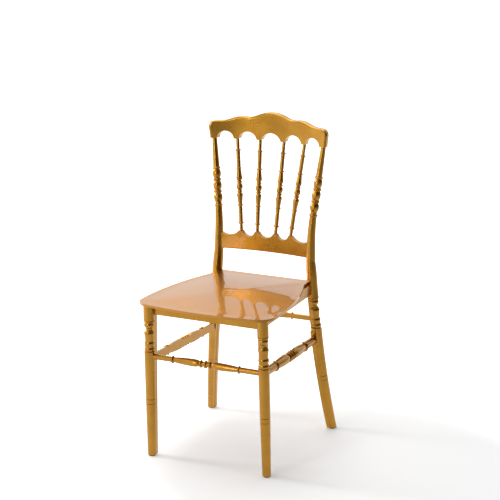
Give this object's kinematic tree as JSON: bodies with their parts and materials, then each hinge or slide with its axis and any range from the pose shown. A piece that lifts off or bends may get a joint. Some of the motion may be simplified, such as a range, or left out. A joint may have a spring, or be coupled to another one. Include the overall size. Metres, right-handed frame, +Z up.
{
  "type": "dining chair",
  "caption": "Stacking banquet chair in glossy gold resin with turned legs and spindles, a scalloped crest rail and a gently crowned seat panel.",
  "frame": {"origin": "on the floor, in the middle of the chair's footprint", "axes": "+Z up, the front of the chair faces -Y, +X to the right of a person who looks at its front"},
  "size_m": [0.4122, 0.476, 0.9],
  "materials": {
    "gold_resin": "glossy metallic gold pigment",
    "seat_resin": "mirror gloss metallic gold pigment",
    "block_resin": "moulded, satin gold",
    "glide_plastic": "moulded, matt dark brown",
    "screw_steel": "zinc plated"
  },
  "bodies": {
    "root": {"seat_panel": "seat_resin", "front_apron": "gold_resin", "rear_apron": "gold_resin", "left_apron": "gold_resin", "right_apron": "gold_resin", "left_front_leg": "gold_resin", "right_front_leg": "gold_resin", "left_back_post": "gold_resin", "right_back_post": "gold_resin", "crest_rail": "gold_resin", "lower_back_rail": "gold_resin", "spindle_inner_left": "gold_resin", "spindle_inner_right": "gold_resin", "spindle_outer_left": "gold_resin", "spindle_outer_right": "gold_resin", "front_stretcher": "gold_resin", "rear_stretcher": "gold_resin", "left_stretcher": "gold_resin", "right_stretcher": "gold_resin", "left_front_corner_block": "block_resin", "right_front_corner_block": "block_resin", "left_rear_corner_block": "block_resin", "right_rear_corner_block": "block_resin", "left_front_glide": "glide_plastic", "right_front_glide": "glide_plastic", "left_back_glide": "glide_plastic", "right_back_glide": "glide_plastic", "seat_screws": "screw_steel", "corner_block_screws": "screw_steel"}
  },
  "joints": []
}
